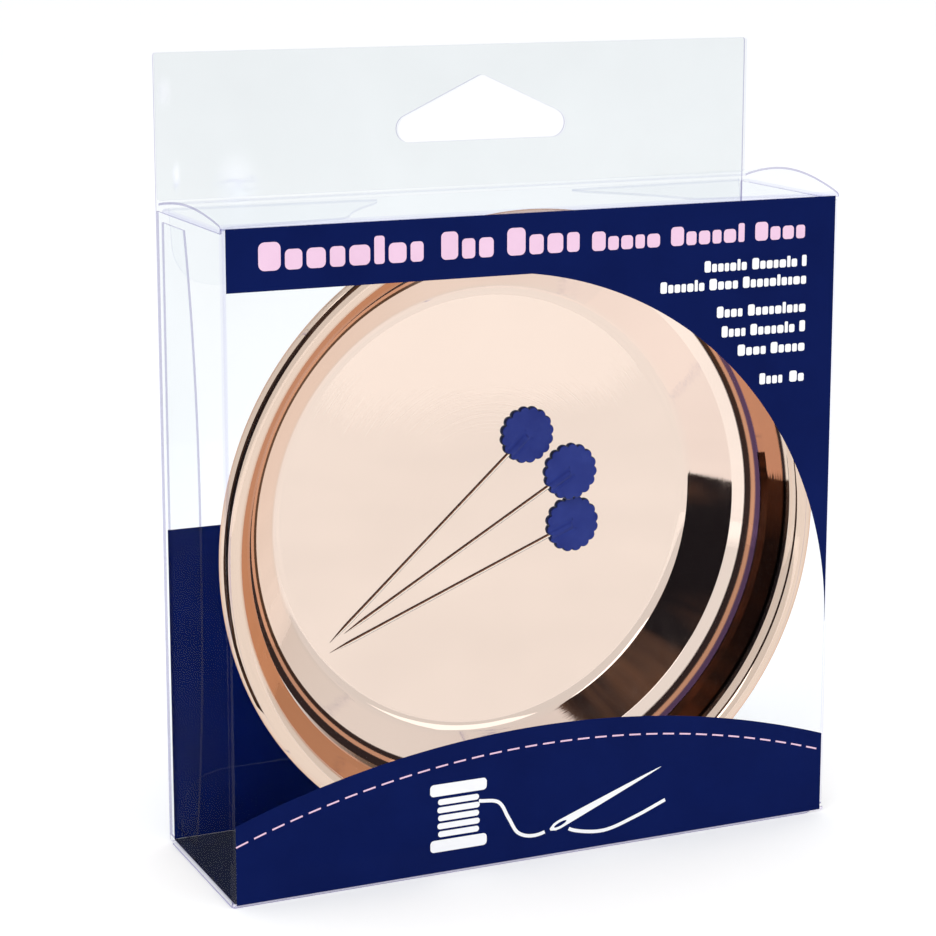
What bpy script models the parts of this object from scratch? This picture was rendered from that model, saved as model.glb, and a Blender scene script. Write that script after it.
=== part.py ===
"""A magnetic pin dish with three flower-head pins, in its clear folded hang box.

Row frame: X to the right, Y to the back, Z up, metres. The box stands on the floor at z = 0,
centred on x = 0 and y = 0, with its front panel towards -Y and its hang tab at the back.
The dish stands on its rim inside the box, with its axis along Y and its bowl open to -Y.
"""

import math

import bmesh
import bpy
from mathutils import Vector

MM = 0.001

# ---- driving dimensions, in millimetres ----
DISH_DIAMETER = 100.0
BOX_WIDTH = 101.4
BOX_DEPTH = 30.4
BOX_HEIGHT = 101.4
TAB_HEIGHT = 22.4
SHEET = 0.35          # clear box sheet
GAP = 0.3             # left between neighbouring solids
STEEL = 0.6           # dish sheet metal

# ---- box ----
HALF_W = BOX_WIDTH / 2
HALF_D = BOX_DEPTH / 2
HINGE_OUT = 0.15      # closure creases turn just outside the front corner
HOLE_X = 3.1          # middle of the hang hole
HOLE_HALF = 12.4      # to the centres of its rounded ends
HOLE_Z = 9.6          # those centres above the lid
HOLE_APEX_Z = 16.0    # centre of the rounded apex above the lid
HOLE_END_R = 2.2
HOLE_APEX_R = 1.6
TUCK_LENGTH = 12.0
TUCK_TILT = math.radians(13.0)
TUCK_CORNER = 6.0
TUCK_HALF_W = 49.2
LID_BACK_Y = 13.75
DUST_LENGTH = 34.0
DUST_FRONT_LENGTH = 22.0

# ---- dish, as (radius, depth from the widest circle) with the bowl's floor deepest ----
DISH_R = DISH_DIAMETER / 2
DISH_Y = -9.85        # plane of the widest circle
DISH_Z = SHEET + GAP + DISH_R
FLOOR_Y = 6.6
ROLL_R = 1.65
DISH_SEGMENTS = 72
ROUND_SEGMENTS = 64

# ---- magnet base ----
FOAM = (12.0, 28.8, 7.5, 8.1)        # inner radius, outer radius, front y, back y
MAGNET = (8.0, 27.6, 8.4, 11.6)
CUP_R = 29.2
CUP_WALL = 1.0
CUP_BACK = (11.9, 12.7)
BOOT_R = 31.4
BOOT_WALL = 1.6
BOOT_BACK = (13.0, 14.5)

# ---- pins ----
PIN_SHAFT_R = 0.33
PIN_POINT = 4.0
HEAD_R = 4.4
HEAD_LOBES = 16
HEAD_THICK = 1.2
RIB_R = 0.82
BORE_R = 0.44
# name, tip x, tip z, head x, head z (all from the dish's axis), head raised towards the front
PINS = [
    ("pin_1", -26.8, -18.6, 6.4, 10.5, 0.0),
    ("pin_2", -24.4, -17.4, 13.8, 4.3, 1.55),
    ("pin_3", -26.8, -20.2, 14.5, -4.75, 0.0),
]

COLLECTION = "magnetic_pin_dish_pack"


def clear_scene():
    for obj in list(bpy.data.objects):
        bpy.data.objects.remove(obj, do_unlink=True)


def collection(name, hidden=False):
    made = bpy.data.collections.new(name)
    bpy.context.scene.collection.children.link(made)
    made.hide_render = hidden
    return made


def material(name, colour, roughness, metallic=0.0, alpha=1.0):
    made = bpy.data.materials.new(name)
    made.use_nodes = True
    shader = made.node_tree.nodes["Principled BSDF"]
    shader.inputs["Base Color"].default_value = (*colour, 1.0)
    shader.inputs["Roughness"].default_value = roughness
    shader.inputs["Metallic"].default_value = metallic
    shader.inputs["Alpha"].default_value = alpha
    made.diffuse_color = (*colour, alpha)
    return made


def add_object(name, data, mat, where, parent=None):
    obj = bpy.data.objects.new(name, data)
    data.materials.append(mat)
    where.objects.link(obj)
    obj.parent = parent
    return obj


def crease(name, y, z, x=0.0):
    """An empty on the line a folded panel turns about."""
    empty = bpy.data.objects.new(name, None)
    empty.location = (x * MM, y * MM, z * MM)
    empty.empty_display_size = 0.004
    PACK.objects.link(empty)
    return empty


def arc(cx, cy, radius, start_deg, end_deg, steps):
    """Points along a circular arc, both ends included."""
    points = []
    for i in range(steps + 1):
        angle = math.radians(start_deg + (end_deg - start_deg) * i / steps)
        points.append((cx + radius * math.cos(angle), cy + radius * math.sin(angle)))
    return points


def rounded(points, radii, steps=5):
    """An open path through the points with each inner corner rounded to its radius."""
    path = [points[0]]
    for i in range(1, len(points) - 1):
        before, corner, after = (Vector(points[j]) for j in (i - 1, i, i + 1))
        into = (corner - before).normalized()
        out = (after - corner).normalized()
        turn = into.angle(out)
        back = radii[i - 1] * math.tan(turn / 2)
        side = 1.0 if into.x * out.y - into.y * out.x > 0 else -1.0
        start = corner - into * back
        centre = start + Vector((-into.y, into.x)) * side * radii[i - 1]
        first = math.atan2(start.y - centre.y, start.x - centre.x)
        for k in range(steps + 1):
            angle = first + side * turn * k / steps
            path.append((centre.x + radii[i - 1] * math.cos(angle),
                         centre.y + radii[i - 1] * math.sin(angle)))
    path.append(points[-1])
    return path


def sheet(name, outlines, mat, thickness=SHEET, parent=None):
    """A flat panel cut to the first outline, with any further outlines as holes."""
    curve = bpy.data.curves.new(name, "CURVE")
    curve.dimensions = "2D"
    curve.fill_mode = "BOTH"
    curve.extrude = thickness * MM / 2
    curve.resolution_u = 1
    for outline in outlines:
        spline = curve.splines.new("POLY")
        spline.points.add(len(outline) - 1)
        for point, (x, y) in zip(spline.points, outline):
            point.co = (x * MM, y * MM, 0.0, 1.0)
        spline.use_cyclic_u = True
    return add_object(name, curve, mat, PACK, parent)


def facing_front(obj, y):
    """Stand a panel up across the box: its outline is x and z, its middle plane at y."""
    obj.rotation_euler = (math.pi / 2, 0.0, 0.0)
    obj.location = (0.0, y * MM, 0.0)


def facing_side(obj, x):
    """Stand a panel up along the box's side: its outline is y and z, its middle plane at x."""
    obj.rotation_euler = (math.pi / 2, 0.0, math.pi / 2)
    obj.location = (x * MM, 0.0, 0.0)


def rectangle(x0, y0, x1, y1):
    return [(x0, y0), (x1, y0), (x1, y1), (x0, y1)]


# ---- the clear box ----

def hang_hole():
    """The delta-shaped peg hole: a flat foot, two round ends and a rounded peak."""
    base = BOX_HEIGHT + HOLE_Z
    peak = BOX_HEIGHT + HOLE_APEX_Z
    slope = math.degrees(math.atan2(peak - base, HOLE_HALF))
    right = arc(HOLE_X + HOLE_HALF, base, HOLE_END_R, -90, 90 - slope, 8)
    top = arc(HOLE_X, peak, HOLE_APEX_R, 90 - slope, 90 + slope, 6)
    left = arc(HOLE_X - HOLE_HALF, base, HOLE_END_R, 90 + slope, 270, 8)
    return right + top + left


def front_panel():
    obj = sheet("front_panel", [rectangle(-HALF_W, 0, HALF_W, BOX_HEIGHT)], PET)
    facing_front(obj, -HALF_D + SHEET / 2)


def back_panel():
    outline = rectangle(-HALF_W, 0, HALF_W, BOX_HEIGHT + TAB_HEIGHT)
    obj = sheet("back_panel", [outline, hang_hole()], PET)
    facing_front(obj, HALF_D - SHEET / 2)


def hang_tab_ply():
    """The second thickness of the tab, folded down inside it and glued."""
    outline = rectangle(-HALF_W, BOX_HEIGHT + GAP, HALF_W, BOX_HEIGHT + TAB_HEIGHT)
    obj = sheet("hang_tab_ply", [outline, hang_hole()], PET)
    facing_front(obj, HALF_D - SHEET * 1.5 - GAP)


def side_panels():
    edge = HALF_D - SHEET - GAP
    foot = 2 * SHEET + 2 * GAP
    for name, side in (("left", -1), ("right", 1)):
        outline = rectangle(-edge, foot, edge, BOX_HEIGHT - foot)
        obj = sheet(f"{name}_side_panel", [outline], PET)
        facing_side(obj, side * (HALF_W - SHEET / 2))


def glue_flap():
    """The seam flap inside the left side panel, with its free edge gently bowed forward."""
    low, high = 3.0, BOX_HEIGHT - 3.0
    middle = (low + high) / 2
    free = []
    for i in range(17):
        t = -1 + 2 * i / 16
        free.append((-0.9 + 5.0 * abs(t) ** 2.4, middle + t * (high - low) / 2))
    outline = [(14.4, low)] + free + [(14.4, high)]
    obj = sheet("glue_flap", [outline], PET)
    facing_side(obj, -(HALF_W - SHEET * 1.5 - GAP))


def dust_outline(side):
    """A dust flap seen from above, root on its crease at x = 0 and free end towards the middle."""
    front, back = -HALF_D + 0.8, 12.2
    tip = (-DUST_FRONT_LENGTH, -8.2)
    points = [
        (0.0, front),
        (-2.5, front + 3.4),
        (tip[0] + 2.0, tip[1] - 0.29),
        (tip[0] - 0.9, tip[1] + 1.7),
        (-DUST_LENGTH + 0.5, back - 4.2),
        (-DUST_LENGTH + 1.8, back - 1.7),
        (0.0, back),
    ]
    return [(side * x, y) for x, y in points]


def tuck_outline(up):
    """A tuck flap across the box: x against the distance down from its crease."""
    near, far = 0.25, TUCK_LENGTH
    r = TUCK_CORNER
    left = arc(-TUCK_HALF_W + r, far - r, r, 180, 90, 8)
    right = arc(TUCK_HALF_W - r, far - r, r, 90, 0, 8)
    points = [(-TUCK_HALF_W, near)] + left + right + [(TUCK_HALF_W, near)]
    return [(x, -up * y) for x, y in points]


def closure(prefix, up):
    """One end of the box: a cover hinged on the front, its tuck flap and two dust flaps.

    up is 1 for the lid and -1 for the bottom, which is the same closure turned over.
    """
    face = BOX_HEIGHT if up > 0 else 0.0
    cover_name = "lid_panel" if up > 0 else "bottom_panel"
    hinge = crease(f"{prefix}_crease", -HALF_D - HINGE_OUT, face + up * HINGE_OUT)
    outline = rectangle(-HALF_W, -HALF_D + SHEET + GAP, HALF_W, LID_BACK_Y)
    shifted = [(x, y + HALF_D + HINGE_OUT) for x, y in outline]
    cover = sheet(cover_name, [shifted], PET, parent=hinge)
    cover.location = (0.0, 0.0, -up * (HINGE_OUT + SHEET / 2) * MM)

    fold_z = face - up * (SHEET + 0.15)
    fold = crease(f"{prefix}_tuck_crease", LID_BACK_Y - 0.15, fold_z)
    fold.rotation_euler = (-up * TUCK_TILT, 0.0, 0.0)
    tuck = sheet(f"{prefix}_tuck_flap", [tuck_outline(up)], PET, parent=fold)
    tuck.rotation_euler = (math.pi / 2, 0.0, 0.0)
    tuck.location = (0.0, -SHEET / 2 * MM, 0.0)

    level = face - up * (2 * SHEET + GAP - SHEET / 2)
    turn_z = face - up * (2 * SHEET + GAP + 0.15)
    for name, side in (("left", -1), ("right", 1)):
        root = side * (HALF_W - SHEET)
        pivot = crease(f"{prefix}_{name}_dust_crease", 0.0, turn_z, root)
        flap = sheet(f"{prefix}_{name}_dust_flap", [dust_outline(side)], PET, parent=pivot)
        flap.location = (0.0, 0.0, (level - turn_z) * MM)


# ---- turned shapes about the dish's axis ----

def turned(name, profile, mat, segments, parent=None, closed=True):
    """A closed ring section of (radius, y) turned about Y; radius 0 makes a single centre point."""
    mesh = bpy.data.meshes.new(name)
    made = bmesh.new()
    rings = []
    for radius, y in profile:
        if radius < 1e-6:
            rings.append([made.verts.new((0.0, y * MM, 0.0))])
            continue
        ring = []
        for i in range(segments):
            angle = 2 * math.pi * i / segments
            ring.append(made.verts.new((radius * math.cos(angle) * MM, y * MM,
                                        radius * math.sin(angle) * MM)))
        rings.append(ring)
    pairs = list(zip(rings, rings[1:]))
    if closed:
        pairs.append((rings[-1], rings[0]))
    for one, two in pairs:
        for i in range(segments):
            j = (i + 1) % segments
            if len(one) == 1 and len(two) == 1:
                continue
            if len(one) == 1:
                made.faces.new((one[0], two[i], two[j]))
            elif len(two) == 1:
                made.faces.new((one[i], two[0], one[j]))
            else:
                made.faces.new((one[i], two[i], two[j], one[j]))
    bmesh.ops.recalc_face_normals(made, faces=made.faces)
    made.to_mesh(mesh)
    made.free()
    return add_object(name, mesh, mat, PACK, parent)


def bowl_front():
    """The bowl's visible face, from the middle of its floor to the end of its rolled rim."""
    corners = [(0.0, FLOOR_Y), (35.6, FLOOR_Y), (40.5, -1.6), (42.5, -3.0),
               (43.3, -5.1), (44.4, -6.1), (46.7, -9.2), (46.7, DISH_Y)]
    path = rounded(corners, [1.4, 1.1, 0.6, 1.0, 0.9, 0.5], steps=3)
    roll = arc(DISH_R - ROLL_R, DISH_Y, ROLL_R, 180, 400, 12)
    return path[:-1] + [(r, y) for r, y in roll]


def behind(path, distance):
    """The path moved sideways to the metal's hidden face."""
    moved = []
    for i, point in enumerate(path):
        before = Vector(path[max(i - 1, 0)])
        after = Vector(path[min(i + 1, len(path) - 1)])
        along = (after - before).normalized()
        moved.append((point[0] - along.y * distance, point[1] + along.x * distance))
    moved[0] = (0.0, path[0][1] + distance)
    return moved


def dish_bowl(axis):
    front = bowl_front()
    back = behind(front, STEEL)
    turned("dish_bowl", front + back[::-1], ROSE, DISH_SEGMENTS, axis, closed=False)


def magnet_base(axis):
    def ring(inner, outer, near, far):
        return [(inner, near), (outer, near), (outer, far), (inner, far)]

    turned("foam_ring", ring(*FOAM), FOAM_MAT, ROUND_SEGMENTS, axis)
    turned("ring_magnet", ring(*MAGNET), FERRITE, ROUND_SEGMENTS, axis)
    near = MAGNET[2]
    cup = [(0.0, CUP_BACK[0]), (CUP_R - CUP_WALL, CUP_BACK[0]), (CUP_R - CUP_WALL, near),
           (CUP_R, near), (CUP_R, CUP_BACK[1] - 0.5), (CUP_R - 0.5, CUP_BACK[1]),
           (0.0, CUP_BACK[1])]
    turned("magnet_cup", cup, STEEL_MAT, ROUND_SEGMENTS, axis, closed=False)
    inner = BOOT_R - BOOT_WALL
    boot = [(0.0, BOOT_BACK[0]), (inner, BOOT_BACK[0]), (inner, near + 0.2),
            (BOOT_R, near + 0.2), (BOOT_R, BOOT_BACK[1] - 1.0),
            (BOOT_R - 0.3, BOOT_BACK[1] - 0.3), (BOOT_R - 1.0, BOOT_BACK[1]),
            (0.0, BOOT_BACK[1])]
    turned("rubber_boot", boot, RUBBER, ROUND_SEGMENTS, axis, closed=False)


# ---- pins ----

def bar(name, profile, segments, where, mat):
    """A turned bar along X from (x, radius) pairs, its ends closed."""
    mesh = bpy.data.meshes.new(name)
    made = bmesh.new()
    rings = []
    for x, radius in profile:
        ring = []
        for i in range(segments):
            angle = 2 * math.pi * i / segments
            ring.append(made.verts.new((x * MM, radius * math.cos(angle) * MM,
                                        radius * math.sin(angle) * MM)))
        rings.append(ring)
    for one, two in zip(rings, rings[1:]):
        for i in range(segments):
            j = (i + 1) % segments
            made.faces.new((one[i], two[i], two[j], one[j]))
    made.faces.new(rings[0])
    made.faces.new(rings[-1])
    bmesh.ops.recalc_face_normals(made, faces=made.faces)
    made.to_mesh(mesh)
    made.free()
    return add_object(name, mesh, mat, where)


def flower_plate(name):
    """The head's scalloped disc, thin along Y, with eased edges."""
    steps = 8 * HEAD_LOBES
    ease = 0.16
    lobe = HEAD_R * math.sin(math.pi / HEAD_LOBES) * 1.12
    centre = HEAD_R - lobe
    outline = []
    for i in range(steps):
        angle = 2 * math.pi * i / steps
        away = (angle * HEAD_LOBES / (2 * math.pi)) % 1.0
        away = (away - 0.5) * 2 * math.pi / HEAD_LOBES
        reach = centre * math.cos(away)
        reach += math.sqrt(max(lobe ** 2 - (centre * math.sin(away)) ** 2, 0.0))
        outline.append((reach, angle))
    mesh = bpy.data.meshes.new(name)
    made = bmesh.new()
    half = HEAD_THICK / 2
    rings = []
    for y, inset in ((-half, ease), (-half + ease, 0.0), (half - ease, 0.0), (half, ease)):
        ring = []
        for reach, angle in outline:
            radius = reach - inset
            ring.append(made.verts.new((radius * math.cos(angle) * MM, y * MM,
                                        radius * math.sin(angle) * MM)))
        rings.append(ring)
    for one, two in zip(rings, rings[1:]):
        for i in range(steps):
            j = (i + 1) % steps
            made.faces.new((one[i], two[i], two[j], one[j]))
    made.faces.new(rings[0])
    made.faces.new(rings[-1])
    bmesh.ops.recalc_face_normals(made, faces=made.faces)
    made.to_mesh(mesh)
    made.free()
    return add_object(name, mesh, BLUE, PACK)


def combine(obj, other, operation):
    step = obj.modifiers.new(operation.lower(), "BOOLEAN")
    step.operation = operation
    step.solver = "EXACT"
    step.object = other


def pin(name, tip_x, tip_z, head_x, head_z, raised, axis):
    """A steel pin laid on the bowl's floor, its moulded head pierced by a blind bore."""
    length = math.hypot(head_x - tip_x, head_z - tip_z)
    rest_y = FLOOR_Y - GAP - HEAD_THICK / 2 - 0.05
    tilt = math.atan2(raised, length)
    empty = bpy.data.objects.new(f"{name}_axis", None)
    PACK.objects.link(empty)
    empty.parent = axis
    empty.location = (head_x * MM, (rest_y - raised) * MM, head_z * MM)
    heading = -math.atan2(head_z - tip_z, head_x - tip_x)
    empty.rotation_mode = "ZYX"
    empty.rotation_euler = (0.0, heading, -tilt)

    tip = -length
    shaft = bar(f"{name}_shaft", [(tip, 0.04), (tip + PIN_POINT * 0.45, 0.2),
                                  (tip + PIN_POINT, PIN_SHAFT_R), (-0.4, PIN_SHAFT_R)],
                16, PACK, STEEL_MAT)
    shaft.parent = empty

    head = flower_plate(f"{name}_head")
    head.parent = empty
    rib = bar(f"{name}_rib_shape", [(-HEAD_R + 0.1, RIB_R), (-0.3, RIB_R), (0.2, RIB_R * 0.8),
                                    (0.45, RIB_R * 0.4)], 20, CUTTERS, BLUE)
    bore = bar(f"{name}_bore_shape", [(-HEAD_R - 2.0, BORE_R), (-0.05, BORE_R)], 16, CUTTERS, BLUE)
    for helper in (rib, bore):
        helper.parent = empty
        helper.hide_render = True
        helper.display_type = "WIRE"
    combine(head, rib, "UNION")
    combine(head, bore, "DIFFERENCE")


def dish():
    axis = crease("dish_axis", 0.0, DISH_Z)
    dish_bowl(axis)
    magnet_base(axis)
    for name, tip_x, tip_z, head_x, head_z, raised in PINS:
        pin(name, tip_x, tip_z, head_x, head_z, raised, axis)


clear_scene()
PACK = collection(COLLECTION)
CUTTERS = collection("cutters", hidden=True)
PET = material("clear_pet", (0.80, 0.84, 0.92), 0.06, alpha=0.28)
ROSE = material("rose_gold_plate", (0.86, 0.56, 0.45), 0.12, metallic=1.0)
STEEL_MAT = material("bright_steel", (0.72, 0.70, 0.68), 0.22, metallic=1.0)
FOAM_MAT = material("adhesive_foam", (0.90, 0.89, 0.85), 0.9)
FERRITE = material("ferrite", (0.10, 0.10, 0.11), 0.7)
RUBBER = material("black_rubber", (0.04, 0.04, 0.045), 0.75)
BLUE = material("blue_head_plastic", (0.05, 0.07, 0.33), 0.42)

front_panel()
back_panel()
hang_tab_ply()
side_panels()
glue_flap()
closure("top", 1)
closure("bottom", -1)
dish()
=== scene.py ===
import math

import bmesh
import bpy
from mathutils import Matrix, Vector

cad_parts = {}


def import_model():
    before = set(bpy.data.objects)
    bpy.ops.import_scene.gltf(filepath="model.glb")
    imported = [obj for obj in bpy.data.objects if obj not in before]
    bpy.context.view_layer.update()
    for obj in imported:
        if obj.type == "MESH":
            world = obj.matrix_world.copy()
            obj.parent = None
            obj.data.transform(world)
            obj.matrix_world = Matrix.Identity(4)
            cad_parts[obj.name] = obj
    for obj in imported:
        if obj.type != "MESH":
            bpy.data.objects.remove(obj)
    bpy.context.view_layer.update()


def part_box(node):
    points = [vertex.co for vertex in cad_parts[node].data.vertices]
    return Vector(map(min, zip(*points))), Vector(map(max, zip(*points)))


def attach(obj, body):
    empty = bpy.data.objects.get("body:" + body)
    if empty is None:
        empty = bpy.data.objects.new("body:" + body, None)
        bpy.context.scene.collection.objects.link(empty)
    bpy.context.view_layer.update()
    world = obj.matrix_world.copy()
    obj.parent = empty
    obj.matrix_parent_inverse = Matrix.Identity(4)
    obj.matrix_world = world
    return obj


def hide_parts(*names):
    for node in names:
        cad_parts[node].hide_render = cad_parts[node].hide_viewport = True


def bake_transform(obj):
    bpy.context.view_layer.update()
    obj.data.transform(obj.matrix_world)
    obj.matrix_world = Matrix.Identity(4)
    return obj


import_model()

MM = 0.001


# ---- places and sizes ----

def span(node):
    """Lowest and highest corner of a CAD node, in millimetres."""
    low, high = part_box(node)
    return Vector(low) / MM, Vector(high) / MM


def middle(node):
    low, high = span(node)
    return (low + high) / 2


FRONT_LOW, FRONT_HIGH = span("front_panel")
BACK_LOW, BACK_HIGH = span("back_panel")
PLY_LOW, PLY_HIGH = span("hang_tab_ply")
LEFT_LOW, LEFT_HIGH = span("left_side_panel")
SEAM_LOW, SEAM_HIGH = span("glue_flap")
LID_HIGH = span("lid_panel")[1]
BOWL_LOW, BOWL_HIGH = span("dish_bowl")

SHEET = FRONT_HIGH.y - FRONT_LOW.y  # thickness of the clear sheet
HALF_W = FRONT_HIGH.x  # half the box's width
FACE_Y = FRONT_LOW.y  # outer face of the front panel
BACK_Y = BACK_HIGH.y  # outer face of the back panel
TOP_Z = FRONT_HIGH.z  # height of the box without its tab
TAB_Z = BACK_HIGH.z
DISH_R = (BOWL_HIGH.x - BOWL_LOW.x) / 2
DISH_Z = (BOWL_HIGH.z + BOWL_LOW.z) / 2
SIDE_X = HALF_W - SHEET / 2  # middle of a side panel's sheet
FRONT_Y = FACE_Y + 0.08 + SHEET / 2  # middle of the front sheet, which is behind its ink

# hang hole, from the box's top edge
HOLE_X = 3.1
HOLE_HALF = 12.4
HOLE_Z = 9.6
HOLE_APEX_Z = 16.0
HOLE_END_R = 2.2
HOLE_APEX_R = 1.6

# closures
FOLD_R = 0.5  # radius of a fold, to the middle of the sheet
HINGE_DROP = 0.75  # how far inside the box's end a cover's sheet starts
TUCK_TILT = math.radians(13.0)
TUCK_LENGTH = 12.0
TUCK_CORNER = 6.0
DUST_FOLD_R = 0.42
DUST_REACH = 34.35  # the flap's length in the two tables below
# a dust flap's front and back edges: distance along the flap, y
DUST_FRONT = [(0.0, -14.3), (0.6, -14.2), (3.2, -11.0), (20.6, -8.5), (21.8, -8.1), (22.9, -7.0),
              (25.0, -2.8), (27.6, 1.0), (30.2, 4.0), (32.6, 6.6), (33.6, 8.1), (34.4, 10.2)]
DUST_BACK = [(0.0, 12.2), (31.0, 10.9), (32.6, 10.6), (33.6, 10.4), (34.4, 10.3)]
BOW_LEFT = 1.3  # how far the lid bows up at its left and right ends
BOW_RIGHT = 2.3

# print
INK = 0.03  # thickness of an ink layer
INK_Y = FACE_Y + 0.065  # middle of the ink printed on the front sheet
INK_FOOT = 0.42  # lower edge of the front and back prints
OVERPRINT_Y = FACE_Y + INK / 2 + 0.002  # middle of the ink printed over the navy
PRINT_INSET = 0.66  # clear margin beside the folds
BAND_LOW = 91.7  # lower edge of the top band
WINDOW = (-10.0, 32.2, 60.0)  # centre x, centre z and radius of the round window
ARCH = (1.0, -130.5, 152.0)  # the lower block's arched top
STITCH = (1.6, -133.3, 151.8)  # the stitch line below it
BACK_INK_TOP = 50.6


# ---- shapes ----

def arc(cx, cy, radius, start_deg, end_deg, steps):
    """Points along a circular arc, both ends included."""
    points = []
    for i in range(steps + 1):
        angle = math.radians(start_deg + (end_deg - start_deg) * i / steps)
        points.append((cx + radius * math.cos(angle), cy + radius * math.sin(angle)))
    return points


def heading(path, i):
    """The path's direction at its point i."""
    before = Vector(path[max(i - 1, 0)])
    after = Vector(path[min(i + 1, len(path) - 1)])
    return (after - before).normalized()


def rounded(points, radii, steps=8):
    """An open path through the points, each inner corner rounded to its radius."""
    path = [points[0]]
    for i in range(1, len(points) - 1):
        before, corner, after = (Vector(points[j]) for j in (i - 1, i, i + 1))
        into = (corner - before).normalized()
        out = (after - corner).normalized()
        turn = into.angle(out)
        back = radii[i - 1] * math.tan(turn / 2)
        side = 1.0 if into.x * out.y - into.y * out.x > 0 else -1.0
        start = corner - into * back
        centre = start + Vector((-into.y, into.x)) * side * radii[i - 1]
        first = math.atan2(start.y - centre.y, start.x - centre.x)
        for k in range(steps + 1):
            angle = first + side * turn * k / steps
            path.append((centre.x + radii[i - 1] * math.cos(angle),
                         centre.y + radii[i - 1] * math.sin(angle)))
    path.append(points[-1])
    return path


def resampled(path, pitch):
    """The path with extra points, so that no step is longer than pitch."""
    made = [path[0]]
    for start, end in zip(path, path[1:]):
        steps = max(1, math.ceil(math.dist(start, end) / pitch))
        for k in range(1, steps + 1):
            made.append((start[0] + (end[0] - start[0]) * k / steps,
                         start[1] + (end[1] - start[1]) * k / steps))
    return made


def at(table, s):
    """Straight-line reading of a table of (s, value) pairs."""
    for (s0, v0), (s1, v1) in zip(table, table[1:]):
        if s <= s1:
            return v0 + (v1 - v0) * (s - s0) / (s1 - s0) if s1 > s0 else v1
    return table[-1][1]


def added(name, data):
    """A new object in the scene."""
    obj = bpy.data.objects.new(name, data)
    bpy.context.scene.collection.objects.link(obj)
    return obj


def mesh_object(name, points, faces, slots, materials):
    """points in millimetres. slots gives each face's material."""
    mesh = bpy.data.meshes.new(name)
    mesh.from_pydata([tuple(Vector(p) * MM) for p in points], [], faces)
    for mat in materials:
        mesh.materials.append(mat)
    mesh.polygons.foreach_set("material_index", slots)
    mesh.update()
    made = bmesh.new()
    made.from_mesh(mesh)
    bmesh.ops.recalc_face_normals(made, faces=made.faces)
    made.to_mesh(mesh)
    made.free()
    mesh.shade_smooth()
    mesh.set_sharp_from_angle(angle=math.radians(32))
    return added(name, mesh)


def folded(name, path, sides, place, materials, across, thickness=SHEET, is_fold=None):
    """A sheet bent along a path. sides(s) gives its two edges at the distance s along the path, and
    place(a, b, c) puts a path point (a, b) and a distance c across it into the box.
    materials are the sheet, its cut edges and its folds."""
    lengths = [0.0]
    for start, end in zip(path, path[1:]):
        lengths.append(lengths[-1] + math.dist(start, end))
    points = []
    for i, point in enumerate(path):
        along = heading(path, i)
        normal = (-along.y, along.x)
        low, high = sides(lengths[i])
        for face in (0.5, -0.5):
            for j in range(across + 1):
                c = low + (high - low) * j / across
                points.append(place(point[0] + normal[0] * thickness * face,
                                    point[1] + normal[1] * thickness * face, c))
    row = across + 1

    def number(i, face, j):
        return (i * 2 + face) * row + j

    faces, slots = [], []
    for i in range(len(path) - 1):
        turned = is_fold is not None and is_fold(lengths[i], lengths[i + 1])
        for j in range(across):
            for face in (0, 1):
                faces.append((number(i, face, j), number(i + 1, face, j),
                              number(i + 1, face, j + 1), number(i, face, j + 1)))
                slots.append(2 if turned else 0)
        for j in (0, across):
            faces.append((number(i, 0, j), number(i + 1, 0, j),
                          number(i + 1, 1, j), number(i, 1, j)))
            slots.append(1)
    for i in (0, len(path) - 1):
        for j in range(across):
            faces.append((number(i, 0, j), number(i, 0, j + 1),
                          number(i, 1, j + 1), number(i, 1, j)))
            slots.append(1)
    return mesh_object(name, points, faces, slots, materials)


def plate(name, outlines, y, thickness, materials):
    """A flat sheet standing across the box: outlines are x and z, y its middle. The first outline
    of each group is its edge and the others are holes. materials are faces, edges and back."""
    curve = bpy.data.curves.new(name, "CURVE")
    curve.dimensions = "2D"
    curve.fill_mode = "BOTH"
    curve.extrude = thickness * MM / 2
    curve.resolution_u = 1
    for outline in outlines:
        spline = curve.splines.new("POLY")
        spline.points.add(len(outline) - 1)
        for point, (a, b) in zip(spline.points, outline):
            point.co = (a * MM, b * MM, 0.0, 1.0)
        spline.use_cyclic_u = True
    helper = added(name + "_outline", curve)
    graph = bpy.context.evaluated_depsgraph_get()
    mesh = bpy.data.meshes.new_from_object(helper.evaluated_get(graph))
    bpy.data.objects.remove(helper, do_unlink=True)
    bpy.data.curves.remove(curve)
    mesh.name = name
    mesh.materials.clear()
    for mat in materials:
        mesh.materials.append(mat)
    made = bmesh.new()
    made.from_mesh(mesh)
    bmesh.ops.remove_doubles(made, verts=made.verts, dist=1e-6)
    for vert in made.verts:
        vert.co = (vert.co.x, y * MM - vert.co.z, vert.co.y)
    bmesh.ops.recalc_face_normals(made, faces=made.faces)
    back = 2 if len(materials) > 2 else 0
    for face in made.faces:
        face.smooth = False
        is_edge = abs(face.normal.y) < 0.5
        face.material_index = 1 if is_edge else back if face.normal.y > 0 else 0
    made.to_mesh(mesh)
    made.free()
    return added(name, mesh)


def between(one, two):
    """Faces between two rings of points. A ring of one point is the middle of a fan."""
    faces = []
    around = max(len(one), len(two))
    for i in range(around):
        j = (i + 1) % around
        if len(one) == 1:
            faces.append((one[0], two[i], two[j]))
        elif len(two) == 1:
            faces.append((one[i], two[0], one[j]))
        else:
            faces.append((one[i], two[i], two[j], one[j]))
    return faces


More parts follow.
